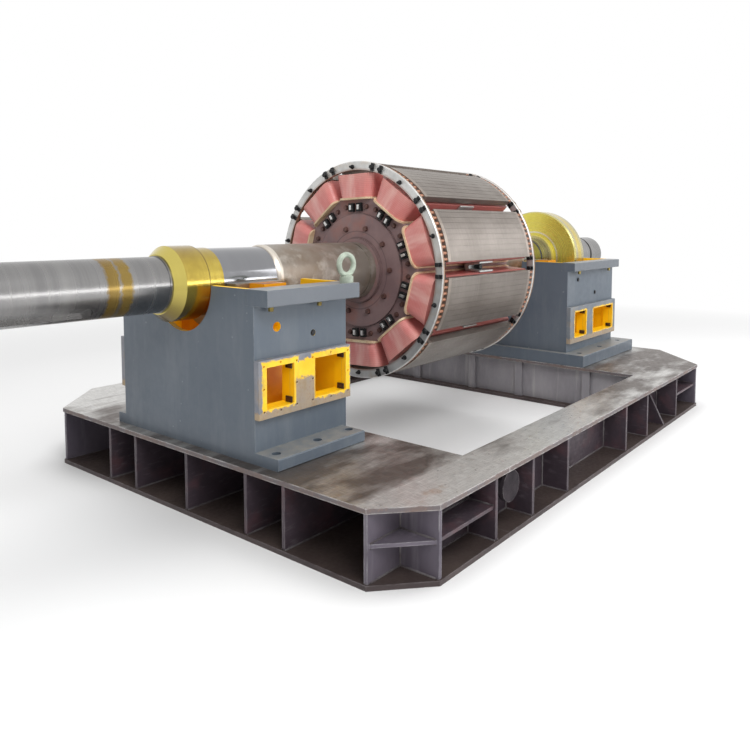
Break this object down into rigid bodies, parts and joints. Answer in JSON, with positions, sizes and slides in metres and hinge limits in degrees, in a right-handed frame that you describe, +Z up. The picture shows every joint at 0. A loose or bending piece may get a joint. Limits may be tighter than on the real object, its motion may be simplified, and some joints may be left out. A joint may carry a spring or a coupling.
{
  "type": "hydro generator rotor on bearing pedestals",
  "caption": "Horizontal hydro generator rotor for a Francis turbine set, its shaft lying in two open bearing pedestals on a fabricated steel base frame with a pit for the stator.",
  "frame": {"origin": "floor point under the middle of the shaft, on the plane of the base frame's underside", "axes": "+X along the shaft towards the thrust collar and exciter end, +Y across, away from the picture's viewer, +Z up"},
  "size_m": [6.1, 3.22, 1.9798],
  "materials": {
    "deck_steel": "ground mild steel with rust at the edges",
    "frame_primer": "dark red-brown primer over rolled plate",
    "pedestal_paint": "semi-gloss blue-grey machine enamel",
    "sump_paint": "orange-yellow oil-proof enamel",
    "bearing_metal": "scraped white metal",
    "eye_paint": "pale grey-green enamel",
    "shaft_steel": "turned and polished steel",
    "gold_varnish": "clear gold preserving varnish",
    "collar_varnish": "yellow preserving varnish on ground steel",
    "spider_primer": "dusty mauve-brown primer",
    "pole_laminations": "stacked sheet steel, dull grey-beige",
    "coil_varnish": "pink-red insulating varnish",
    "cream_board": "cream laminate board",
    "damper_metal": "tinned ring, light grey",
    "wedge_black": "black oxide",
    "brace_steel": "bright machined steel"
  },
  "bodies": {
    "stand": {"end_decks": "deck_steel", "deck_rails": "deck_steel", "end_soles": "frame_primer", "sole_rails": "frame_primer", "side_webs": "frame_primer", "cross_webs": "frame_primer", "pit_stiffeners": "frame_primer", "end_ribs": "frame_primer", "side_ribs": "frame_primer", "bay_gussets": "frame_primer", "corner_cells": "frame_primer", "trunnions": "frame_primer", "near_foot": "pedestal_paint", "near_end_walls": "pedestal_paint", "near_side_walls": "pedestal_paint", "near_lips": "pedestal_paint", "near_window_frames": "pedestal_paint", "near_saddle": "sump_paint", "near_bush": "bearing_metal", "far_foot": "pedestal_paint", "far_end_walls": "pedestal_paint", "far_side_walls": "pedestal_paint", "far_lips": "pedestal_paint", "far_window_frames": "pedestal_paint", "far_saddle": "sump_paint", "far_bush": "bearing_metal", "eyebolt": "eye_paint"},
    "rotor": {"shaft": "shaft_steel", "oil_thrower": "gold_varnish", "thrust_collar": "collar_varnish", "spider": "spider_primer", "pole_01": "pole_laminations", "pole_02": "pole_laminations", "pole_03": "pole_laminations", "pole_04": "pole_laminations", "pole_05": "pole_laminations", "pole_06": "pole_laminations", "pole_07": "pole_laminations", "pole_08": "pole_laminations", "pole_09": "pole_laminations", "pole_10": "pole_laminations", "coil_01": "coil_varnish", "coil_02": "coil_varnish", "coil_03": "coil_varnish", "coil_04": "coil_varnish", "coil_05": "coil_varnish", "coil_06": "coil_varnish", "coil_07": "coil_varnish", "coil_08": "coil_varnish", "coil_09": "coil_varnish", "coil_10": "coil_varnish", "coil_washers": "cream_board", "damper_ring_near": "damper_metal", "damper_ring_far": "damper_metal", "pole_wedges": "wedge_black", "coil_braces": "brace_steel"}
  },
  "joints": [
    {"name": "rotor_spin", "type": "hinge", "parent": "stand", "child": "rotor", "pos_m": [-0.12, 0, 1.23], "axis": [1, 0, 0], "continuous": true}
  ]
}
